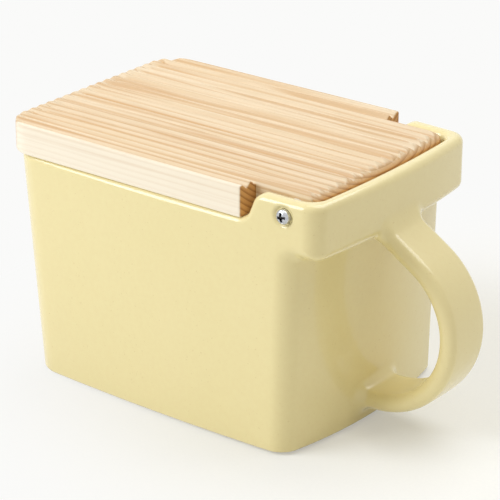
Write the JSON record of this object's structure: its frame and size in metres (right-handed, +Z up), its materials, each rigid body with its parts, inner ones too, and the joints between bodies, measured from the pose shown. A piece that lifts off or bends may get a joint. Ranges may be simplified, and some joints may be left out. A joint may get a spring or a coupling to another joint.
{
  "type": "salt box",
  "caption": "Rectangular glazed ceramic tub with a strap handle at its rear and a grooved wooden board lid that tips up on screws through the ears of a rear collar.",
  "frame": {"origin": "middle of the whole outline, handle included, on the table under the foot ring", "axes": "+X from the front of the box towards the handle, +Y across, +Z up"},
  "size_m": [0.177, 0.1006, 0.1],
  "materials": {
    "glaze": "glossy straw-coloured glaze",
    "board": "plain oiled softwood with a grooved top",
    "screw": "bright plated steel",
    "bush": "off-white nylon"
  },
  "bodies": {
    "box": {"tub": "glaze", "handle": "glaze", "hinge_bushes": "bush"},
    "lid": {"lid": "board", "hinge_screws": "screw", "hinge_spacers": "bush"}
  },
  "joints": [
    {"name": "lid_hinge", "type": "hinge", "parent": "box", "child": "lid", "pos_m": [0.04147, 0, 0.093], "axis": [0, 1, 0], "range_deg": [0, 108]}
  ]
}
